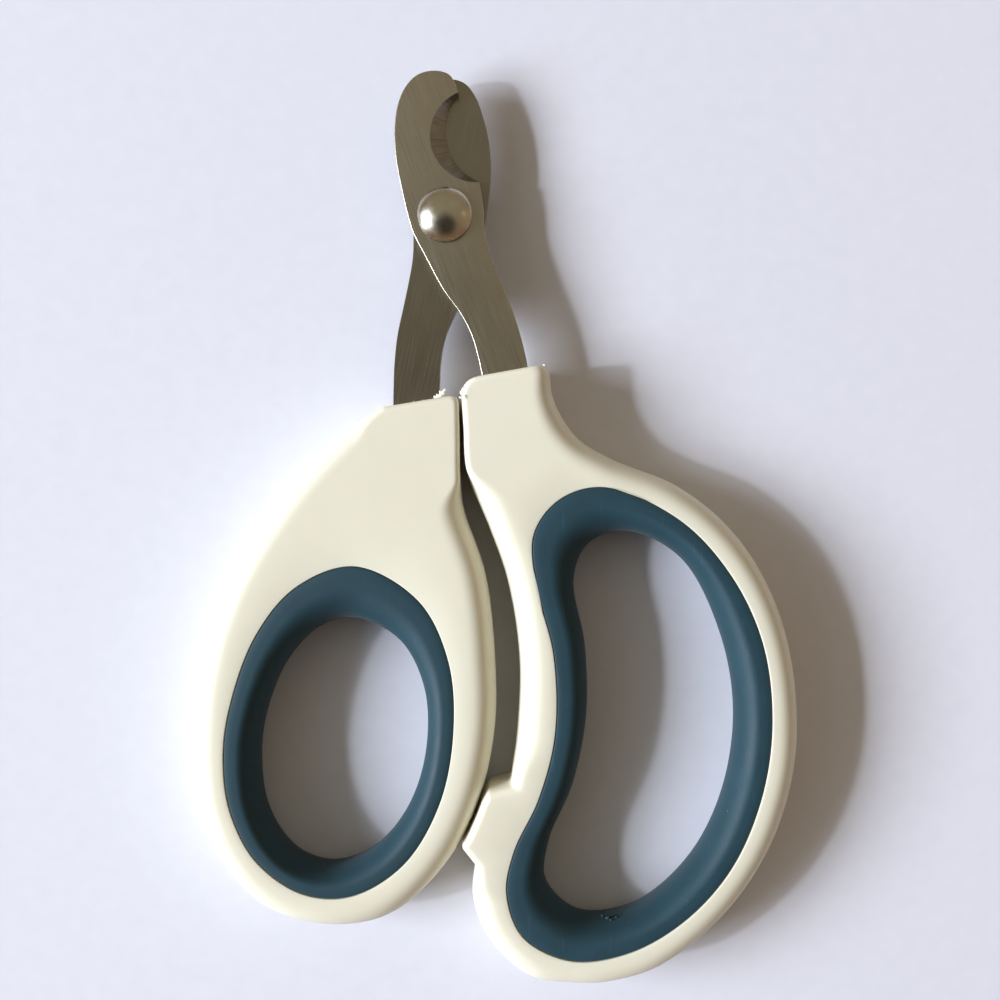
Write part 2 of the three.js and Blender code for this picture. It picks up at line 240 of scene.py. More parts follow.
def fill(tree, node, inputs):
    """Gives each input its value or its link. A node stands for its first output in use,
    and text for the colour with that hex code."""
    for name, value in inputs.items():
        if isinstance(value, str):
            value = colour(value)
        if isinstance(value, bpy.types.Node):
            value = next(output for output in value.outputs if output.enabled)
        if isinstance(value, bpy.types.NodeSocket):
            tree.links.new(value, node.inputs[name])
        else:
            node.inputs[name].default_value = value


def add(tree, kind, inputs=None, **settings):
    """Adds a node, sets it, and fills its inputs."""
    made = tree.nodes.new("ShaderNode" + kind)
    for name, value in settings.items():
        setattr(made, name, value)
    fill(tree, made, inputs or {})
    return made


def new_material(name):
    """A material with an empty Principled surface, and its Object coordinates."""
    made = bpy.data.materials.new(name)
    made.use_nodes = True
    tree = made.node_tree
    tree.nodes.clear()
    surface = add(tree, "BsdfPrincipled")
    add(tree, "OutputMaterial", {"Surface": surface})
    place = add(tree, "TexCoord").outputs["Object"]
    return made, tree, surface, place


def per_mm(size):
    """A pattern's scale for a feature that is this many millimetres across."""
    return 1 / (size * MM)


# A Mix node that blends colours has its factor at input 0, and the two colours at 6 and 7.
FACTOR, FIRST, SECOND = 0, 6, 7


def specks(tree, place, spacing, radius, share):
    """1 inside sparse round specks, 0 elsewhere: one in some of the cells of a Voronoi."""
    cells = add(tree, "TexVoronoi", {"Vector": place, "Scale": per_mm(spacing)})
    pick = add(tree, "SeparateColor", {"Color": cells.outputs["Color"]})
    chosen = add(tree, "Math", {0: pick.outputs["Red"], 1: share}, operation="LESS_THAN")
    size = add(tree, "Math", {0: pick.outputs["Green"], 1: radius / spacing}, operation="MULTIPLY")
    inside = add(tree, "Math", {0: cells.outputs["Distance"], 1: size}, operation="LESS_THAN")
    return add(tree, "Math", {0: inside, 1: chosen}, operation="MULTIPLY")


# %% [markdown]
# ## Ivory ABS, injection moulded
# ABS from a finely spark-eroded mould: a matte skin with a soft, wide highlight. It is
# slightly translucent, which rounds off its shadows, and cheap regrind leaves a few dark
# specks in it. The cream colour wanders a little from place to place. The grain and the
# shallow sinks are bump, because neither is deep enough to change the outline.

# %% Handle plastic


def ivory_moulded_abs():
    made, tree, surface, place = new_material("ivory_moulded_abs")
    clouds = add(tree, "TexNoise", {"Vector": place, "Scale": per_mm(14), "Detail": 3.0})
    cream = add(tree, "Mix", {FACTOR: clouds, FIRST: "e3dfc9", SECOND: "eae6d5"}, data_type="RGBA")
    dark = specks(tree, place, 6.0, 0.17, 0.22)
    flecked = add(tree, "Mix", {FACTOR: dark, FIRST: cream, SECOND: "8f8372"}, data_type="RGBA")
    # The eroded grain is about 0.05 mm, drawn at 0.22 mm, which is as fine as shows.
    grain = add(tree, "TexNoise", {"Vector": place, "Scale": per_mm(0.22), "Detail": 2.0})
    sink = add(tree, "TexNoise", {"Vector": place, "Scale": per_mm(5.0), "Detail": 1.0})
    rolling = add(tree, "Bump", {"Height": sink, "Strength": 0.10, "Distance": 0.25 * MM})
    fine = add(tree, "Bump", {"Height": grain, "Strength": 0.14, "Distance": 0.03 * MM,
                              "Normal": rolling})
    gloss = add(tree, "MapRange", {"Value": clouds, "To Min": 0.40, "To Max": 0.52})
    fill(tree, surface, {
        "Base Color": flecked, "Roughness": gloss, "Normal": fine, "Specular IOR Level": 0.4,
        "Subsurface Weight": 0.25, "Subsurface Radius": (1.0, 0.75, 0.45),
        "Subsurface Scale": 1.4 * MM,
    })
    return made


# %% [markdown]
# ## Teal thermoplastic rubber
# The rings are a soft rubber moulded onto the plastic. It is dull, with a faint bloom that
# lightens it at a glancing angle, and it holds dust as pale specks. Rubbed places are a
# little paler, in streaks. An image could hold such marks, but noise has no seams.

# %% Grip rubber


def teal_soft_rubber():
    made, tree, surface, place = new_material("teal_soft_rubber")
    clouds = add(tree, "TexNoise", {"Vector": place, "Scale": per_mm(4.0), "Detail": 4.0})
    teal = add(tree, "Mix", {FACTOR: clouds, FIRST: "0d323e", SECOND: "133e4b"}, data_type="RGBA")
    dust = specks(tree, place, 2.2, 0.13, 0.30)
    dusty = add(tree, "Mix", {FACTOR: dust, FIRST: teal, SECOND: "7d9294"}, data_type="RGBA")
    scuffs = add(tree, "Mapping", {"Vector": place, "Rotation": (0, 0, radians(35)), "Scale": (1.0, 0.12,
                                                                                               1.0)})
    rubbed = add(tree, "TexNoise", {"Vector": scuffs, "Scale": per_mm(0.5), "Detail": 3.0})
    worn = add(tree, "MapRange", {"Value": rubbed, "From Min": 0.62, "From Max": 0.80, "To Max": 0.22})
    final = add(tree, "Mix", {FACTOR: worn, FIRST: dusty, SECOND: "456472"}, data_type="RGBA")
    # The mould's grain is about 0.05 mm, drawn at 0.2 mm.
    grain = add(tree, "TexNoise", {"Vector": place, "Scale": per_mm(0.2), "Detail": 2.0})
    bump = add(tree, "Bump", {"Height": grain, "Strength": 0.25, "Distance": 0.04 * MM})
    gloss = add(tree, "MapRange", {"Value": clouds, "To Min": 0.58, "To Max": 0.74})
    fill(tree, surface, {
        "Base Color": final, "Roughness": gloss, "Normal": bump, "Specular IOR Level": 0.5,
        "Sheen Weight": 0.06, "Sheen Roughness": 0.5,
    })
    return made


# %% [markdown]
# ## Stainless steel, stamped and linished
# The blades are hard stainless sheet, polished on a fine belt that ran along them, so their
# lines lie lengthways, and handling leaves a few fine scratches across them. The nail
# notch's bevel was ground afterwards, on a small wheel, and its coarser lines run across the
# edge. Stretched noise makes lines that waver and break as ground ones do, where a wave
# texture's would be too even.

# %% Blade steel


def linished_stainless(name, lean, dull, clean):
    """Blade steel between two colours, whose belt lines lean this many degrees from Y."""
    made, tree, surface, place = new_material(name)
    turned = add(tree, "Mapping", {"Vector": place, "Rotation": (0, 0, radians(-lean))})
    stretched = add(tree, "Mapping", {"Vector": turned, "Scale": (1, 0.02, 1)})
    # Belt lines are 0.03 mm apart, drawn at 0.16 mm.
    lines = add(tree, "TexNoise", {"Vector": stretched, "Scale": per_mm(0.16), "Detail": 3.0})
    across = add(tree, "Mapping", {"Vector": place, "Rotation": (0, 0, radians(62)), "Scale": (1, 0.03,
                                                                                               1)})
    marks = add(tree, "TexNoise", {"Vector": across, "Scale": per_mm(0.35), "Detail": 1.0})
    scratch = add(tree, "MapRange", {"Value": marks, "From Min": 0.76, "From Max": 0.85})
    clouds = add(tree, "TexNoise", {"Vector": place, "Scale": per_mm(6.0), "Detail": 4.0})
    steel = add(tree, "Mix", {FACTOR: clouds, FIRST: dull, SECOND: clean}, data_type="RGBA")
    bright = add(tree, "Mix", {FACTOR: scratch, FIRST: steel, SECOND: "cfcabb"}, data_type="RGBA")
    gloss = add(tree, "MapRange", {"Value": lines, "From Min": 0.3, "From Max": 0.7, "To Min": 0.24,
                                   "To Max": 0.36})
    belt = add(tree, "Bump", {"Height": lines, "Strength": 0.06, "Distance": 0.02 * MM})
    fill(tree, surface, {"Base Color": bright, "Roughness": gloss, "Normal": belt, "Metallic": 1.0})
    return made


def ground_bevel(name, centre, radius):
    """The notch's bevel, with wheel marks that run out from the notch's centre."""
    made, tree, surface, place = new_material(name)
    centred = add(tree, "Mapping", {"Vector": place, "Location": (-centre.x, -centre.y, 0)})
    parts = add(tree, "SeparateXYZ", {"Vector": centred})
    angle = add(tree, "Math", {0: parts.outputs["Y"], 1: parts.outputs["X"]}, operation="ARCTAN2")
    # Wheel marks are 0.05 mm apart, drawn at 0.25 mm along the edge's arc.
    marks = add(tree, "TexNoise", {"W": angle, "Scale": radius / 0.25, "Detail": 4.0},
                noise_dimensions="1D")
    clouds = add(tree, "TexNoise", {"Vector": place, "Scale": per_mm(1.5), "Detail": 4.0})
    both = add(tree, "Math", {0: marks, 1: clouds}, operation="MULTIPLY")
    shade = add(tree, "MapRange", {"Value": both, "From Min": 0.12, "From Max": 0.4})
    steel = add(tree, "Mix", {FACTOR: shade, FIRST: "817e76", SECOND: "a09c91"}, data_type="RGBA")
    bump = add(tree, "Bump", {"Height": marks, "Strength": 0.07, "Distance": 0.03 * MM})
    fill(tree, surface, {"Base Color": steel, "Roughness": 0.42, "Normal": bump, "Metallic": 1.0})
    return made


# %% [markdown]
# ## Nickel-plated steel for the rivet
# The rivet's head was pressed and then plated, so it is far smoother than the blades. It
# mirrors its surroundings, with a slight haze and shallow tumbling marks. A clear mirror
# would look wet, so noise varies the roughness a little.

# %% Rivet plating


def plated_nickel():
    made, tree, surface, place = new_material("plated_nickel")
    haze = add(tree, "TexNoise", {"Vector": place, "Scale": per_mm(1.2), "Detail": 5.0})
    marks = add(tree, "TexNoise", {"Vector": place, "Scale": per_mm(0.3), "Detail": 3.0,
                                   "Distortion": 1.5})
    metal = add(tree, "Mix", {FACTOR: haze, FIRST: "b4b0a1", SECOND: "cbc7b8"}, data_type="RGBA")
    gloss = add(tree, "MapRange", {"Value": haze, "From Min": 0.3, "From Max": 0.7, "To Min": 0.17,
                                   "To Max": 0.26})
    bump = add(tree, "Bump", {"Height": marks, "Strength": 0.08, "Distance": 0.02 * MM})
    fill(tree, surface, {"Base Color": metal, "Roughness": gloss, "Normal": bump, "Metallic": 1.0})
    return made


# %% [markdown]
# The two blades came off the belt at different angles, so each has its own lean.
# The rear one is given a darker pair of colours than the front one.

# %% Make the materials
ivory = ivory_moulded_abs()
rubber = teal_soft_rubber()
front_steel = linished_stainless("linished_stainless_front", 20, "aaa496", "b9b3a5")
rear_steel = linished_stainless("linished_stainless_rear", -12, "8f8a7e", "9c968a")
nickel = plated_nickel()
print("materials", [m.name for m in bpy.data.materials])

# %% [markdown]
# ## Handles
# A handle is a flat plate of plastic with a very soft edge: from a narrow upright band at
# half thickness it rolls over to the flat faces, a little squarer than a quarter ellipse.
# Around the neck the edge is only just broken, so the softness fades out there. A bevel has
# one width all the way round, so the edge is drawn up ring by ring instead, each ring as
# far inside the outline as the softness at that place asks.

# %% Levels, from the frame
handle_low, handle_high = (corner.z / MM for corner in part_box("finger_handle"))
MIDDLE = (handle_low + handle_high) / 2
HALF = (handle_high - handle_low) / 2
SOFT_REACH = 3.6        # how far the soft edge reaches in from the outline
SIDE, TOP = 2.2, 2.6    # powers of the soft edge: above 2, it flows into the face
NECK_EDGE = 0.8         # the neck's small edge break
LAND = 0.4              # half of the upright band at half thickness
print("handle from", round(handle_low, 3), "to", round(handle_high, 3), "mm above the table")


def quarter(height, reach, start, side=2.0, top=2.0):
    """A rolled edge's inset at a height, which starts at `start` and ends at the face."""
    rise = min(max((abs(height) - start) / (HALF - start), 0.0), 1.0)
    return reach * (1 - (1 - rise ** side) ** (1 / top))


def inset_at(height, soft):
    """How far inside the outline the surface lies at a height from the middle."""
    crisp = quarter(height, NECK_EDGE, HALF - NECK_EDGE)
    return crisp + (quarter(height, SOFT_REACH, LAND, SIDE, TOP) - crisp) * soft


# %% [markdown]
# An outline is a few smooth stretches that meet at corners. To move it inwards, the
# stretches are moved first, and each corner is found again where the moved lines cross, and
# then rounded. Moving every point by itself would fold the tighter corners over.

# %% Stretches


def stretch(places, soft, radius=0.0, clear=0.2):
    """A stretch from corner to corner. `soft` is a number for each place, or one for all,
    `radius` rounds the corner at its far end, and no place is kept this close to a corner."""
    places = np.asarray(places, float)
    soft = np.broadcast_to(np.asarray(soft, float), len(places))
    run = np.append(0, np.cumsum(norm(np.diff(places, axis=0), axis=1)))
    kept = (run > clear) & (run < run[-1] - clear)
    kept[[0, -1]] = False
    inner = places[kept]
    first = inner[0] if len(inner) else places[-1]
    last = inner[-1] if len(inner) else places[0]
    return {
        "places": inner, "inward": inward(places, closed=False)[kept], "soft": soft[kept],
        "leaves": (first - places[0]) / norm(first - places[0]),
        "arrives": (places[-1] - last) / norm(places[-1] - last),
        "soft_ends": (soft[0], soft[-1]), "corner": places[-1], "radius": radius,
    }


# %% Corners
CORNER_STEPS = 8
NEARLY_STRAIGHT = 0.12    # radians: below this, the crossing of two lines is unsteady
LEAST_RADIUS = 0.15       # of a corner that closes up as it moves in


def turn_corner(before, after, height, extra):
    """The rounded corner between two stretches, once both have moved inwards."""
    a, b = before["arrives"], after["leaves"]
    inset_a = inset_at(height, before["soft_ends"][1]) + extra
    inset_b = inset_at(height, after["soft_ends"][0]) + extra
    normals = np.array([[-a[1], a[0]], [-b[1], b[0]]])
    turning = atan2(a[0] * b[1] - a[1] * b[0], a @ b)
    if abs(turning) < NEARLY_STRAIGHT:
        tip = before["corner"] + normals.mean(axis=0) * (inset_a + inset_b) / 2
    else:
        tip = before["corner"] + np.linalg.solve(normals, [inset_a, inset_b])
    radius = before["radius"]
    if turning > 0:
        radius = max(radius - min(inset_a, inset_b), LEAST_RADIUS)
    reach = radius * tan(abs(turning) / 2)
    start, end = tip - a * reach, tip + b * reach
    steps = np.linspace(0, 1, CORNER_STEPS)
    return [start * (1 - t) ** 2 + tip * 2 * t * (1 - t) + end * t ** 2 for t in steps]


# %% The whole outline at a height


def ring_at(stretches, height, extra=0.0):
    """The whole outline at a height from the middle, `extra` further in."""
    places = []
    for before, after in zip(stretches, stretches[1:] + stretches[:1]):
        inset = np.array([inset_at(height, soft) + extra for soft in before["soft"]])
        places += list(before["places"] + before["inward"] * inset[:, None])
        places += turn_corner(before, after, height, extra)
    return at_height(places, MIDDLE + height)


def ease(value, start, end):
    """0 before start, 1 after end, and smooth in between."""
    t = np.clip((value - start) / (end - start), 0, 1)
    return t * t * (3 - 2 * t)


# %% [markdown]
# A handle's hole is the edge of its soft ring. Its rim is broken by a tenth or so of a
# millimetre, which draws the fine line that shows around the rubber. The flat faces are
# filled last, between the last ring of the roll and the hole's rim.

# %% Build a handle from its outline and its hole
RIM = 0.15       # the radius that breaks the hole's rim
BORDER = 0.12    # a narrow flat border, which keeps the roll's shading off the face
EDGE_HEIGHTS = [LAND + (HALF - LAND) * (1 - cos(radians(a)) ** TOP) ** (1 / SIDE)
                for a in range(0, 91, 6)]


def handle(name, body, stretches, hole):
    """A handle: its rolled edge, the wall of its hole, and the two faces between them."""
    bm = bmesh.new()
    low_side = ring = start_ring(bm, ring_at(stretches, -EDGE_HEIGHTS[0]))
    for height in EDGE_HEIGHTS:
        ring = draw_up(bm, ring, ring_at(stretches, height))
    high_rim = draw_up(bm, ring, ring_at(stretches, HALF, BORDER))
    ring = low_side
    for height in EDGE_HEIGHTS[1:]:
        ring = draw_up(bm, ring, ring_at(stretches, -height))
    low_rim = draw_up(bm, ring, ring_at(stretches, -HALF, BORDER))
    out = -inward(hole)
    around = [(RIM * (1 - sin(radians(a))), HALF - RIM * (1 - cos(radians(a))))
              for a in (0, 30, 60, 90)]
    high_hole = ring = start_ring(bm, at_height(hole + out * around[0][0], MIDDLE + HALF))
    for wider, height in around[1:]:
        ring = draw_up(bm, ring, at_height(hole + out * wider, MIDDLE + height))
    for wider, height in reversed(around):
        ring = draw_up(bm, ring, at_height(hole + out * wider, MIDDLE - height))
    cap(bm, high_rim, high_hole)
    cap(bm, low_rim, ring)
    return finish_piece(bm, name, body, [ivory], [name])


# %% [markdown]
# The two holes differ: the thumb's is an oval, and the fingers' is longer and bent, so that
# two or three fingers fit. Each is drawn twice, as the line where the rubber meets the
# plastic and as the opening inside it. An offset of one line would not do, because the
# rubber is wider in some places than in others.

# %% The two finger holes, as the edge of each soft ring and the opening inside it
SPACING = 0.55    # between points along the outlines

thumb_ring_edge = smooth([
    (-11.8, -47.8), (-19.6, -50.5), (-25.2, -57.2), (-28.8, -67.4), (-29.5, -74.0), (-28.6, -80.6),
    (-25.2, -87.2), (-19.0, -91.6), (-12.4, -92.0), (-5.4, -87.8), (-0.6, -79.8), (1.3, -70.2),
    (0.6, -60.4), (-3.4, -52.4),
], SPACING, closed=True)
thumb_ring_hole = smooth([
    (-12.6, -54.9), (-17.2, -56.2), (-21.7, -60.8), (-24.8, -68.4), (-25.5, -74.8), (-24.4, -81.8),
    (-20.6, -87.3), (-15.6, -88.9), (-9.8, -86.8), (-5.2, -81.4), (-2.6, -73.4), (-2.8, -64.6),
    (-6.2, -58.0),
], SPACING, closed=True)
finger_ring_edge = smooth([
    (21.5, -37.2), (15.6, -38.8), (12.1, -43.4), (12.4, -50.4), (14.7, -59.6), (14.9, -70.4),
    (12.7, -79.0), (9.4, -86.0), (8.4, -91.6), (10.6, -97.4), (17.0, -100.6), (24.8, -99.6),
    (32.4, -95.2), (38.6, -88.2), (42.6, -78.8), (44.0, -69.0), (42.8, -58.4), (38.6, -49.2),
    (31.6, -41.6),
], SPACING, closed=True)
finger_ring_hole = smooth([
    (25.0, -43.1), (19.6, -44.8), (17.6, -49.6), (19.1, -58.6), (19.3, -68.4), (17.4, -77.8),
    (14.2, -85.4), (13.8, -91.2), (18.3, -95.6), (26.0, -94.9), (33.3, -88.9), (38.0, -80.1),
    (39.9, -68.6), (38.0, -57.2), (32.6, -46.9),
], SPACING, closed=True)
print("ring points", len(thumb_ring_edge), len(finger_ring_edge))

# %% [markdown]
# The thumb handle starts at the left end of its mouth, runs down its outer side, round the
# loop and up to its straight neck wall. Its edge is soft all round the loop, and the
# softness runs out where the neck wall begins, in a short facet.

# %% Thumb handle
thumb_side = smooth([
    (-8.1, -26.4), (-12.8, -28.6), (-18.2, -33.7), (-23.4, -40.2), (-28.0, -47.5), (-31.4, -55.4),
    (-33.4, -63.6), (-34.0, -72.4), (-33.3, -80.3), (-30.2, -88.2), (-24.4, -94.2), (-15.8, -96.7),
    (-7.4, -95.3), (-0.3, -89.1), (4.4, -80.6), (6.8, -70.4), (6.8, -59.4), (5.5, -48.8),
    (2.6, -40.2), (2.2, -37.0), (2.1, -30.0), (2.0, -24.7),
], SPACING)
along = np.arange(len(thumb_side)) * SPACING
on_wall = (thumb_side[:, 0] > -6) & (thumb_side[:, 1] > -48)    # the neck, on the right
thumb_soft = ease(along, 0.0, 7.0) * np.where(on_wall, ease(-thumb_side[:, 1], 36.0, 40.4), 1.0)
thumb_outline = [
    stretch(thumb_side, thumb_soft, radius=1.3, clear=1.6),
    stretch(scaled((2.0, -24.7), (-8.1, -26.4)), 0.0, radius=0.8),
]
handle("thumb_handle", "thumb_side", thumb_outline, thumb_ring_edge)

# %% [markdown]
# The finger handle's loop also carries the stop, a nub whose flat end meets the thumb loop
# when the trimmer is shut. Its face follows the thumb loop's curve, a small gap away, as it
# would after the two handles were fitted to each other. The loop's soft edge tightens as it
# nears the nub.

# %% Finger handle
STOP_GAP = 0.3
left_side = smooth([
    (2.15, -22.7), (2.6, -28.8), (3.1, -35.2), (6.2, -43.0), (8.6, -50.0), (10.2, -60.4),
    (9.9, -70.4), (9.0, -77.15),
], SPACING)
left_soft = ease(-left_side[:, 1], 34.4, 40.0) * (1 - 0.65 * ease(-left_side[:, 1], 70.5, 76.5))
beside_thumb = (thumb_side - inward(thumb_side, closed=False) * STOP_GAP)[::-1]
# The stop's face follows the thumb loop between these two places along Y.
facing = (beside_thumb[:, 0] > 0) & (beside_thumb[:, 1] < -79.1) & (beside_thumb[:, 1] > -85.3)
stop_face = np.vstack([scaled((6.05, -77.9)), beside_thumb[facing], scaled((2.2, -85.7))])
outer_side = smooth([
    (4.2, -88.2), (3.8, -92.7), (5.1, -97.1), (8.5, -101.5), (12.1, -103.9), (17.0, -104.6),
    (22.0, -104.5), (29.3, -102.3), (37.9, -95.5), (44.1, -86.6), (47.5, -76.3), (48.0, -66.6),
    (46.4, -56.6), (43.0, -48.4), (38.1, -41.9), (31.4, -36.8), (22.6, -33.2), (18.0, -30.3),
    (14.9, -25.2), (14.3, -20.5),
], SPACING)
along = np.arange(len(outer_side)) * SPACING
outer_soft = 0.2 + 0.8 * ease(along, 0.0, 6.0) - 0.4 * ease(along, along[-1] - 9.0, along[-1])
finger_outline = [
    stretch(left_side, left_soft, radius=1.0, clear=2.0),
    stretch(scaled((9.0, -77.15), (6.05, -77.9)), 0.2, radius=0.9),
    stretch(stop_face, 0.05, radius=0.8, clear=1.0),
    stretch(scaled((2.2, -85.7), (4.2, -88.2)), 0.2, radius=0.5),
    stretch(outer_side, outer_soft, radius=1.3, clear=1.7),
    stretch(scaled((14.3, -20.5), (2.15, -22.7)), 0.0, radius=3.0),
]
handle("finger_handle", "finger_side", finger_outline, finger_ring_edge)

# %% [markdown]
# ## Soft rings
# A ring starts flush with the handle's face, stays flat for less than half of its width, and
# then rolls over into the hole. Its width changes round the loop, so each point of its edge
# is paired with the nearest point of the hole, and the section between them is scaled to
# fit. A bridge between the two lines would pair them less evenly, and twist the section.

# %% Pair the ring's edge with its hole
EVEN_OVER, EVEN_TIMES = 9, 4    # neighbours averaged in a pass, and passes


def paired(edge, hole):
    """For each place on the edge, its partner on the hole, evened out along the ring."""
    nearest = np.array([np.argmin(norm(hole - place, axis=1)) for place in edge])
    steady = np.arange(len(edge)) * len(hole) / len(edge)
    lead = (nearest - steady + len(hole) / 2) % len(hole) - len(hole) / 2
    window = np.ones(EVEN_OVER) / EVEN_OVER
    beyond = EVEN_OVER // 2
    for _ in range(EVEN_TIMES):
        wrapped = np.concatenate([lead[-beyond:], lead, lead[:beyond]])
        lead = np.convolve(wrapped, window, mode="valid")
    at = (steady + lead) % len(hole)
    whole = np.vstack([hole, hole[:1]])
    index = np.arange(len(whole))
    return np.column_stack([np.interp(at, index, whole[:, k]) for k in (0, 1)])


# %% The ring's section
SEAM = 0.06        # between the rubber and the plastic's rim
RING_RIM = 0.28    # the rubber's own small edge radius
FLAT_SHARE = 0.37  # how much of the ring's width stays flat
HOLE_LAND = 0.3    # half of the upright band inside the hole
ROLL_STEPS = 14    # from the flat part down into the hole


def ring_section():
    """(millimetres in from the edge, share of the width, height from the middle), up and over."""
    section = [(0.0, 0.0, 0.0), (0.0, 0.0, HALF - RING_RIM)]
    for a in (30, 60, 90):
        back = RING_RIM * (1 - cos(radians(a)))
        section.append((back, 0.0, HALF - RING_RIM * (1 - sin(radians(a)))))
    section.append((RING_RIM / 2, FLAT_SHARE / 2, HALF))
    for step in range(ROLL_STEPS + 1):
        a = radians(90 * step / ROLL_STEPS)
        share = FLAT_SHARE + (1 - FLAT_SHARE) * sin(a)
        section.append((0.0, share, HOLE_LAND + (HALF - HOLE_LAND) * cos(a)))
    return section + [(back, share, -height) for back, share, height in section[:0:-1]]


# %% Draw the section round the hole


def soft_ring(name, body, edge, hole):
    """A ring between its edge in the plastic and its hole, closed on itself underneath."""
    partner = paired(edge, hole)
    inner = inward(edge)
    bm = bmesh.new()
    rings = []
    for back, share, height in ring_section():
        places = edge + inner * (SEAM + back)
        places = places + (partner - edge) * share
        places = at_height(places, MIDDLE + height)
        rings.append(draw_up(bm, rings[-1], places) if rings else start_ring(bm, places))
    draw_up(bm, rings[-1], [vert.co.copy() for vert in rings[0]])
    return finish_piece(bm, name, body, [rubber], [name])


soft_ring("thumb_grip_ring", "thumb_side", thumb_ring_edge, thumb_ring_hole)
soft_ring("finger_grip_ring", "finger_side", finger_ring_edge, finger_ring_hole)

# %% [markdown]
# ## Blades
# A blade was stamped from sheet, so its walls are upright, with a small rounded edge on the
# side that the punch entered. The nail notch is different: the cutting edge lies against
# the other blade, and the wall above it was ground back at a slant. Its two borders are
# arcs of two circles, one on each face, and the slant is what joins them. A Boolean cut
# with a cone would leave a rougher edge than the two drawn arcs do.

# %% Arcs, and the two circles of the nail notch
EDGE_X, EDGE_Y, EDGE_RADIUS = 7.6, 11.9, 7.6        # the cutting edge
BEVEL_X, BEVEL_Y, BEVEL_RADIUS = 4.35, 10.85, 6.4   # where the slant reaches the outer face
NOTCH_STEPS = 64


def arc(centre, radius, start, end, count):
    """Places on an arc, from one angle to another, in degrees."""
    angles = np.radians(np.linspace(start, end, count))
    centre = np.array(centre)
    return (centre + radius * np.column_stack([np.cos(angles), np.sin(angles)])) * PLAN_SCALE


def notch(side, edge_angles, bevel_angles):
    """The edge arc and the bevel arc of a notch on the right (side 1) or the left (-1)."""
    edge = arc((side * EDGE_X, EDGE_Y), EDGE_RADIUS, *edge_angles, NOTCH_STEPS)
    bevel = arc((side * BEVEL_X, BEVEL_Y), BEVEL_RADIUS, *bevel_angles, NOTCH_STEPS)
    return edge, bevel


# %% [markdown]
# Inside its handle a blade ends in a tang, a straight tongue with cut corners and two holes.
# The plastic flowed through the holes, so the blade can't be pulled out.

# %% Tangs
TANG_WIDTH, TANG_CUT = 5.6, 1.2    # and how much its corners are cut
TANG_START = 2.0                   # where the tongue runs straight, from the handle's mouth
ANCHORS = (4.4, 9.8)               # how far in its two holes are


def tang(mouth, towards, length):
    """The tang's end, and the middles of its two holes."""
    start, aim = scaled(mouth, towards)
    ahead = (aim - start) / norm(aim - start)
    left = np.array([-ahead[1], ahead[0]])
    wide, narrow = TANG_WIDTH / 2, TANG_WIDTH / 2 - TANG_CUT
    corners = [(TANG_START, -wide), (length - TANG_CUT, -wide), (length, -narrow),
               (length, narrow), (length - TANG_CUT, wide), (TANG_START, wide)]
    end = [start + ahead * far + left * side for far, side in corners]
    return np.array(end), [start + ahead * far for far in ANCHORS]


# %% [markdown]
# A blade's skin starts at the face against the other blade and is drawn up to the outer
# face. Each ring is the stamped outline, followed by an arc that lies part of the way from
# the edge arc to the bevel arc. The faces that then slant in the notch are the ground
# bevel, and get its material, up to where they run out into the stamped wall.

# %% Build a blade
BLADE_SPACING = 0.35     # between points along the outlines
STAMPED = 0.12           # the stamped edge's radius
BURR = 0.04              # the edge against the other blade is just dressed
WALL_RINGS = 0.35, 0.65  # rings up the wall, as shares of the thickness
SHANK_HOLE, ANCHOR_HOLE = 1.8, 1.4    # radii
HOLE_POINTS = 48
SLANTING = 0.15, 0.99    # how upright the normal of a bevel's face is
NOTCH_REACH = 7.5        # no bevel is further than this from the middle of the edge
LEAST_AREA = 0.004       # a smaller face is a sliver of the stamped edge
RUN_OUT = 0.3            # the bevel stops this far from the stamped outline


def round_hole(bm, centre, radius, low, high):
    """A hole's wall: its low ring and its high ring."""
    drawn = np.array(centre) / PLAN_SCALE
    circle = arc(drawn, radius / PLAN_SCALE, 0, 360, HOLE_POINTS + 1)[:-1]
    low_ring = start_ring(bm, at_height(circle, low))
    return low_ring, draw_up(bm, low_ring, at_height(circle, high))


def blade(name, body, outline, notch_arcs, anchors, contact, outer, materials):
    """A blade from its face against the other blade, at `contact`, to its outer face."""
    edge_arc, bevel_arc = notch_arcs
    normals = inward(np.vstack([outline, edge_arc]))[:len(outline)]
    bm = bmesh.new()

    def level(share, inset):
        ground = edge_arc + (bevel_arc - edge_arc) * share
        places = np.vstack([outline + normals * inset, ground])
        return at_height(places, contact + (outer - contact) * share)

    thick = abs(outer - contact)
    first = ring = start_ring(bm, level(0.0, BURR))
    levels = [(BURR / thick, 0.0)] + [(share, 0.0) for share in WALL_RINGS]
    for a in range(0, 91, 18):
        rise = STAMPED * (1 - sin(radians(a)))
        levels.append((1 - rise / thick, STAMPED * (1 - cos(radians(a)))))
    for share, inset in levels:
        ring = draw_up(bm, ring, level(share, inset))
    holes = [((0, 0), SHANK_HOLE)] + [(anchor, ANCHOR_HOLE) for anchor in anchors]
    walls = [round_hole(bm, centre, radius, contact, outer) for centre, radius in holes]
    cap(bm, first, *[wall[0] for wall in walls])
    cap(bm, ring, *[wall[1] for wall in walls])
    bmesh.ops.recalc_face_normals(bm, faces=bm.faces)
    middle = Vector(edge_arc.mean(axis=0))
    for face in bm.faces:
        spot = face.calc_center_median().to_2d()
        slanting = SLANTING[0] < abs(face.normal.z) < SLANTING[1]
        if slanting and (spot - middle).length < NOTCH_REACH and face.calc_area() > LEAST_AREA:
            near = norm(outline - np.array(spot), axis=1).min()
            face.material_index = 1 if near > RUN_OUT else 0
    return finish_piece(bm, name, body, materials, [name], sharp=radians(20))


# %% [markdown]
# The front blade runs from its tip at the upper left, down past the rivet, to its tang in
# the finger handle at the lower right. Its notch opens to the right.

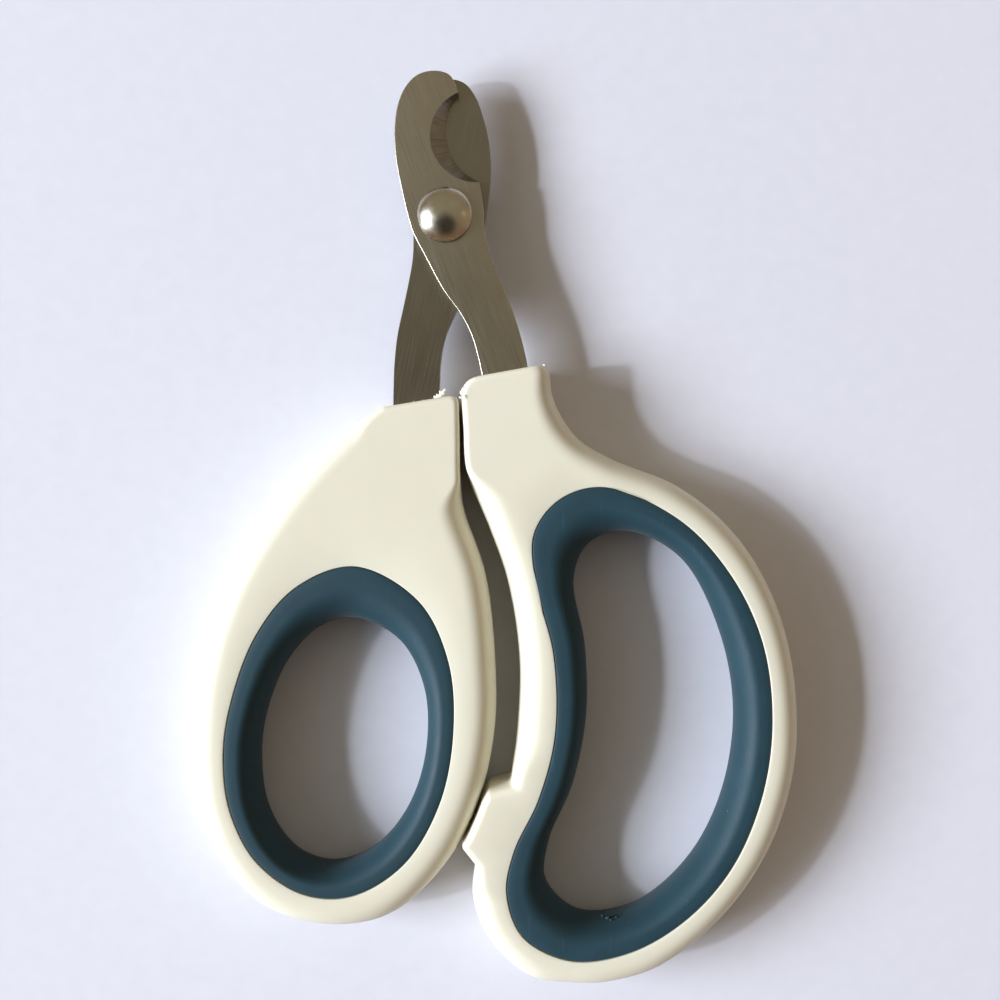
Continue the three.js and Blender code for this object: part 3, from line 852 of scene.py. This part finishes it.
# %% Front blade
front_low, front_high = (corner.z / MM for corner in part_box("front_blade"))
rear_low, rear_high = (corner.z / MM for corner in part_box("rear_blade"))
front_tang, front_holes = tang((8.2, -22.8), (10.0, -32.3), 13)
front_left = smooth([
    (1.6, 17.6), (0.6, 19.2), (-1.4, 19.74), (-3.7, 19.2), (-5.4, 17.5), (-6.5, 14.8), (-6.9, 11.0),
    (-6.6, 7.0), (-6.0, 3.9), (-4.5, -2.0), (-2.8, -5.4), (-0.2, -10.2), (2.1, -13.4), (3.6, -16.3),
    (4.5, -19.3), (5.2, -22.6),
], BLADE_SPACING)
front_right = smooth([
    (11.5, -24.0), (11.3, -20.6), (10.5, -17.0), (9.5, -13.7), (7.5, -8.7), (6.2, -5.1),
    (5.4, -2.0), (5.3, 0.6), (5.0, 2.8), (4.72, 4.3),
], BLADE_SPACING)
front_notch = notch(1, (247.6, 139.2), (273.1, 113.0))
front_bevel = ground_bevel("ground_bevel_front", axis + Vector((EDGE_X, EDGE_Y, 0)) * MM,
                           EDGE_RADIUS)
blade("front_blade", "finger_side", np.vstack([front_left, front_tang, front_right]),
      front_notch, front_holes, front_low, front_high, [front_steel, front_bevel])

# %% [markdown]
# The rear blade crosses behind it, the other way about, and its notch opens to the left. The
# two edge arcs then close on the nail from both sides. Its shank and tang aren't a mirror
# image of the front ones, so it is drawn by itself.

# %% Rear blade
rear_tang, rear_holes = tang((-3.95, -26.6), (-4.3, -41.0), 15)
rear_left = smooth([
    (-4.62, 4.6), (-4.5, 1.5), (-4.4, -1.5), (-4.5, -5.6), (-5.0, -8.6), (-5.8, -12.4),
    (-6.6, -16.2), (-7.0, -19.8), (-7.15, -23.4), (-7.2, -28.0),
], BLADE_SPACING)
rear_right = smooth([
    (-0.8, -28.0), (-0.75, -23.0), (-0.6, -19.8), (0.1, -16.2), (1.5, -12.9), (3.4, -8.6),
    (4.7, -4.2), (5.7, 0.6), (6.2, 4.6), (6.3, 7.4), (6.0, 10.6), (5.3, 13.6), (4.2, 16.6),
    (2.7, 18.5), (0.6, 19.1), (-1.1, 18.4),
], BLADE_SPACING)
rear_notch = notch(-1, (40.8, -67.6), (67.0, -93.1))
rear_bevel = ground_bevel("ground_bevel_rear", axis + Vector((-EDGE_X, EDGE_Y, 0)) * MM,
                          EDGE_RADIUS)
blade("rear_blade", "thumb_side", np.vstack([rear_left, rear_tang, rear_right]),
      rear_notch, rear_holes, rear_high, rear_low, [rear_steel, rear_bevel])

# %% [markdown]
# ## Rivet and washer
# Both are round about one axis, so half of the section is drawn and spun once round, where
# a squashed ball would give a poorer dome. The head is a shallow cap cut from a ball,
# above a short upright rim that narrows at the seat, so that a fine dark line shows where it
# meets the blade. The other end was hammered out over the washer.

# %% Spin a section
SPIN_STEPS = 96


def spun(name, body, section, material):
    """A section of radius and height spun about the rivet's axis."""
    bm = bmesh.new()
    last = bm.verts.new((section[0][0], 0, section[0][1]))
    for radius, height in section[1:]:
        made = bmesh.ops.extrude_vert_indiv(bm, verts=[last])["verts"][0]
        made.co = (radius, 0, height)
        last = made
    bmesh.ops.spin(bm, geom=bm.verts[:] + bm.edges[:], axis=(0, 0, 1), cent=(0, 0, 0),
                   steps=SPIN_STEPS, angle=2 * pi, use_merge=True, use_duplicate=False)
    return finish_piece(bm, name, body, [material], [name])


# %% The rivet
rivet_low, rivet_high = (corner.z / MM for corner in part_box("pivot_rivet"))
washer_low, washer_high = (corner.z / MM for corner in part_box("rivet_washer"))
HEAD, SHANK, PEENED = 3.7, 1.7, 2.5    # radii
RUNNING_GAP = 0.05          # under the head and over the hammered end, so that it turns
RIM_WALL = 0.55             # the short upright wall below the dome
SEAT_IN, SEAT_UP = 0.10, 0.15    # how the rim narrows at the seat
PEEN_RISE = 0.55            # height of the hammered end's rounded edge
DOME_STEPS = 18
head_seat = front_high + RUNNING_GAP
peen_seat = washer_low - RUNNING_GAP
dome_rise = rivet_high - head_seat - RIM_WALL
ball = (HEAD ** 2 + dome_rise ** 2) / (2 * dome_rise)    # the radius of the dome's ball
rim_angle = asin(HEAD / ball)
rivet_section = [(0, rivet_low)]
for a in range(15, 91, 15):
    rivet_section.append((PEENED * sin(radians(a)) ** 0.6,
                          rivet_low + PEEN_RISE * (1 - cos(radians(a)))))
rivet_section += [(PEENED, peen_seat), (SHANK, peen_seat), (SHANK, head_seat),
                  (HEAD - SEAT_IN, head_seat), (HEAD, head_seat + SEAT_UP)]
for step in range(DOME_STEPS, -1, -1):
    a = rim_angle * step / DOME_STEPS
    rivet_section.append((ball * sin(a), rivet_high - ball * (1 - cos(a))))
print("dome from a ball of radius", round(ball, 2), "mm")
spun("pivot_rivet", "finger_side", rivet_section, nickel)

# %% The washer
WASHER, WASHER_HOLE = 3.4, 1.8    # radii
WASHER_EDGE = 0.12                # how much its outer corners are cut
spun("rivet_washer", "finger_side", [
    (WASHER_HOLE, washer_low), (WASHER - WASHER_EDGE, washer_low),
    (WASHER, washer_low + WASHER_EDGE), (WASHER, washer_high - WASHER_EDGE),
    (WASHER - WASHER_EDGE, washer_high), (WASHER_HOLE, washer_high), (WASHER_HOLE, washer_low),
], rear_steel)

# %% [markdown]
# ## Moulding flash
# Where the mould closed on the blades a little plastic squeezed out, and a rough crumb was
# left where the rubber's feed was torn off. They are tiny lumps of the same materials: each
# is a small ball whose points are moved in or out at random, drawn out one way, pressed a
# little flat and turned at random. A bump in the material would not break the outline.

# %% Scatter crumbs
random.seed(7)
DENT, BULGE = 0.72, 1.15    # how far in and out a crumb's points go, as shares of its radius
PRESSED = 0.8               # a crumb's height, as a share of its width


def crumbs(name, body, material, spots):
    """Rough little lumps. A spot is a plan place, a height, a size, and how far it stretches."""
    bm = bmesh.new()
    for x, y, height, size, long in spots:
        ball = bmesh.ops.create_icosphere(bm, subdivisions=2, radius=size / 2)["verts"]
        for vert in ball:
            vert.co *= random.uniform(DENT, BULGE)
        turn = Matrix.Rotation(random.uniform(0, pi), 4, "Z")
        shape = Matrix.Translation((x * PLAN_SCALE, y * PLAN_SCALE, height)) @ turn
        shape = shape @ Matrix.Diagonal((long, 1.0, PRESSED, 1.0))
        bmesh.ops.transform(bm, matrix=shape, verts=ball)
    return finish_piece(bm, name, body, [material], sharp=radians(60))


thumb_flash = [(-0.75, -24.90, 7.5, 0.75, 1.4), (-0.35, -24.65, 7.9, 0.75, 1.2),
               (-0.10, -24.40, 8.1, 0.60, 1.3), (0.12, -24.05, 8.2, 0.42, 1.4),
               (-1.15, -25.05, 7.2, 0.52, 1.7), (-0.50, -24.30, 7.9, 0.40, 1.4),
               (-1.9, -25.2, 5.4, 0.34, 2.2), (-2.9, -25.35, 5.3, 0.30, 1.8),
               (-4.3, -25.6, 5.3, 0.28, 2.4), (-5.6, -25.8, 5.3, 0.28, 2.0)]
finger_flash = [(2.40, -24.55, 9.5, 0.50, 1.4), (2.70, -24.00, 9.6, 0.56, 1.5),
                (3.10, -23.50, 9.6, 0.50, 1.3), (3.60, -23.10, 9.6, 0.56, 1.5),
                (4.25, -22.72, 9.6, 0.46, 1.6), (4.95, -22.45, 9.5, 0.36, 1.6),
                (2.30, -25.20, 9.5, 0.36, 1.8), (13.5, -20.80, 9.2, 0.34, 1.5)]
rubber_gate = [(21.6, -95.75, 6.4, 0.45, 1.6), (22.2, -95.85, 6.9, 0.55, 1.3),
               (22.8, -95.80, 6.5, 0.60, 1.4), (23.4, -95.75, 6.9, 0.45, 1.5),
               (24.0, -95.65, 6.4, 0.40, 1.4), (22.6, -95.95, 7.4, 0.35, 1.5)]
crumbs("thumb_handle_flash", "thumb_side", ivory, thumb_flash)
crumbs("finger_handle_flash", "finger_side", ivory, finger_flash)
crumbs("finger_ring_gate", "finger_side", rubber, rubber_gate)

# %% [markdown]
# ## Table
# The trimmer lies on a pale sheet of paper. A flat grid is enough, with its faint mottling
# in the material.

# %% Floor
FLOOR_REACH = 3.0    # metres from the middle to each side


def floor_paper():
    made, tree, surface, place = new_material("floor_paper")
    fibres = add(tree, "TexNoise", {"Vector": place, "Scale": per_mm(2.5), "Detail": 5.0})
    paper = add(tree, "Mix", {FACTOR: fibres, FIRST: "dadbe5", SECOND: "e2e2ec"}, data_type="RGBA")
    bump = add(tree, "Bump", {"Height": fibres, "Strength": 0.12, "Distance": 0.1 * MM})
    fill(tree, surface, {"Base Color": paper, "Roughness": 0.9, "Normal": bump,
                         "Specular IOR Level": 0.15})
    return made


bm = bmesh.new()
bmesh.ops.create_grid(bm, x_segments=2, y_segments=2, size=FLOOR_REACH)
floor_mesh = bpy.data.meshes.new("floor")
bm.to_mesh(floor_mesh)
bm.free()
floor_mesh.materials.append(floor_paper())
floor = in_scene("floor", floor_mesh)
print("floor", len(floor_mesh.polygons), "faces")

# %% [markdown]
# ## Light
# Daylight comes low from a window on the left. An area lamp the size of a window gives the
# soft shadow and the bright patch in the rivet. A weak sun lamp, a little higher, stands for
# the sky above the roofs and gives the shadow a firmer core.

# %% Lights
LAMP_DISTANCE = 2.0    # metres
WINDOW_SIDE = 185      # the window's azimuth
DAYLIGHT = "edf4ff"


def direction(azimuth, elevation):
    """A unit vector at an azimuth from X and an elevation, both in degrees."""
    around, up = radians(azimuth), radians(elevation)
    return Vector((cos(around) * cos(up), sin(around) * cos(up), sin(up)))


def lamp(name, kind, strength, tint, towards, **settings):
    """A lamp that shines on the origin from a direction."""
    data = bpy.data.lights.new(name, kind)
    data.energy = strength
    data.color = colour(tint)[:3]
    for setting, value in settings.items():
        setattr(data, setting, value)
    made = in_scene(name, data)
    made.location = towards * LAMP_DISTANCE
    made.rotation_mode = "QUATERNION"
    made.rotation_quaternion = towards.to_track_quat("Z", "Y")


lamp("window", "AREA", 63.0, DAYLIGHT, direction(WINDOW_SIDE, 28), shape="RECTANGLE",
     size=1.2, size_y=0.70)
lamp("sky_above_roofs", "SUN", 0.9, DAYLIGHT, direction(WINDOW_SIDE, 36), angle=radians(3))
print("lamps", [light.name for light in bpy.data.lights])

# %% [markdown]
# ## The room
# Polished steel shows what is around it, so the room matters as much as the lamps. It is dim
# and warm, lighter overhead, with soft round patches where something bright or dark stands.
# A panorama of a real room could do this, but a few nodes are enough for small blades.

# %% The room, lighter towards its ceiling
ROOM_LEAN = 0.45    # how much being on the +Y side counts, next to being high
world = bpy.data.worlds.new("room")
bpy.context.scene.world = world
world.use_nodes = True
room = world.node_tree
room.nodes.clear()
way = add(room, "TexCoord").outputs["Generated"]
parts = add(room, "SeparateXYZ", {"Vector": way})
tilt = add(room, "Math", {0: parts.outputs["Y"], 1: ROOM_LEAN, 2: parts.outputs["Z"]},
           operation="MULTIPLY_ADD")
height = add(room, "MapRange", {"Value": tilt})
seen = add(room, "Mix", {FACTOR: height, FIRST: "8f735c", SECOND: "a19781"}, data_type="RGBA")

# %% Bright and dark patches


def patch(seen, azimuth, elevation, core, fade, tint, share):
    """Lays a soft round patch over the room: whole inside core degrees, gone outside fade."""
    facing = add(room, "VectorMath", {0: way, 1: direction(azimuth, elevation)}, operation="DOT_PRODUCT")
    inside = add(room, "MapRange", {"Value": facing.outputs["Value"], "From Min": cos(radians(fade)),
                                    "From Max": cos(radians(core)), "To Max": share},
                 interpolation_type="SMOOTHSTEP")
    return add(room, "Mix", {FACTOR: inside, FIRST: seen, SECOND: tint}, data_type="RGBA")


for spot in (
    (WINDOW_SIDE, 30, 14, 36, "e6ecf2", 0.9),    # the wall and curtain round the window
    (-88, 63, 10, 44, "1c1a17", 0.9),            # someone who leans over the table
    (5, 12, 8, 36, "b8a080", 0.5),               # the warm wall opposite the window
    (12, 30, 3, 8, "ffe3ad", 0.5),               # a small lamp on that wall
):
    seen = patch(seen, *spot)
backdrop = add(room, "Background", {"Color": seen, "Strength": 1.0})
add(room, "OutputWorld", {"Surface": backdrop})
print("room", len(room.nodes), "nodes")

# %% [markdown]
# ## Camera
# It looks straight down from close by, so that what lies higher looks a little larger. The
# lens follows from two lengths: the camera's height, and how much of the table it takes in.

# %% Camera
CAMERA_HEIGHT = 170 * MM
VIEW_WIDTH = 141.8 * MM
VIEW_CENTRE = Vector((7.528, -38.868, 0)) * MM    # from the rivet's axis
SENSOR = 36.0                                     # millimetres, as Blender counts lenses
lens = bpy.data.cameras.new("camera")
lens.sensor_width = SENSOR
lens.lens = SENSOR * CAMERA_HEIGHT / VIEW_WIDTH
lens.clip_start = 0.01
camera = in_scene("camera", lens)
camera.location = (axis.x + VIEW_CENTRE.x, axis.y + VIEW_CENTRE.y, CAMERA_HEIGHT)
bpy.context.scene.camera = camera
bpy.context.scene.view_settings.view_transform = "Standard"
print("lens", round(lens.lens, 2), "mm")
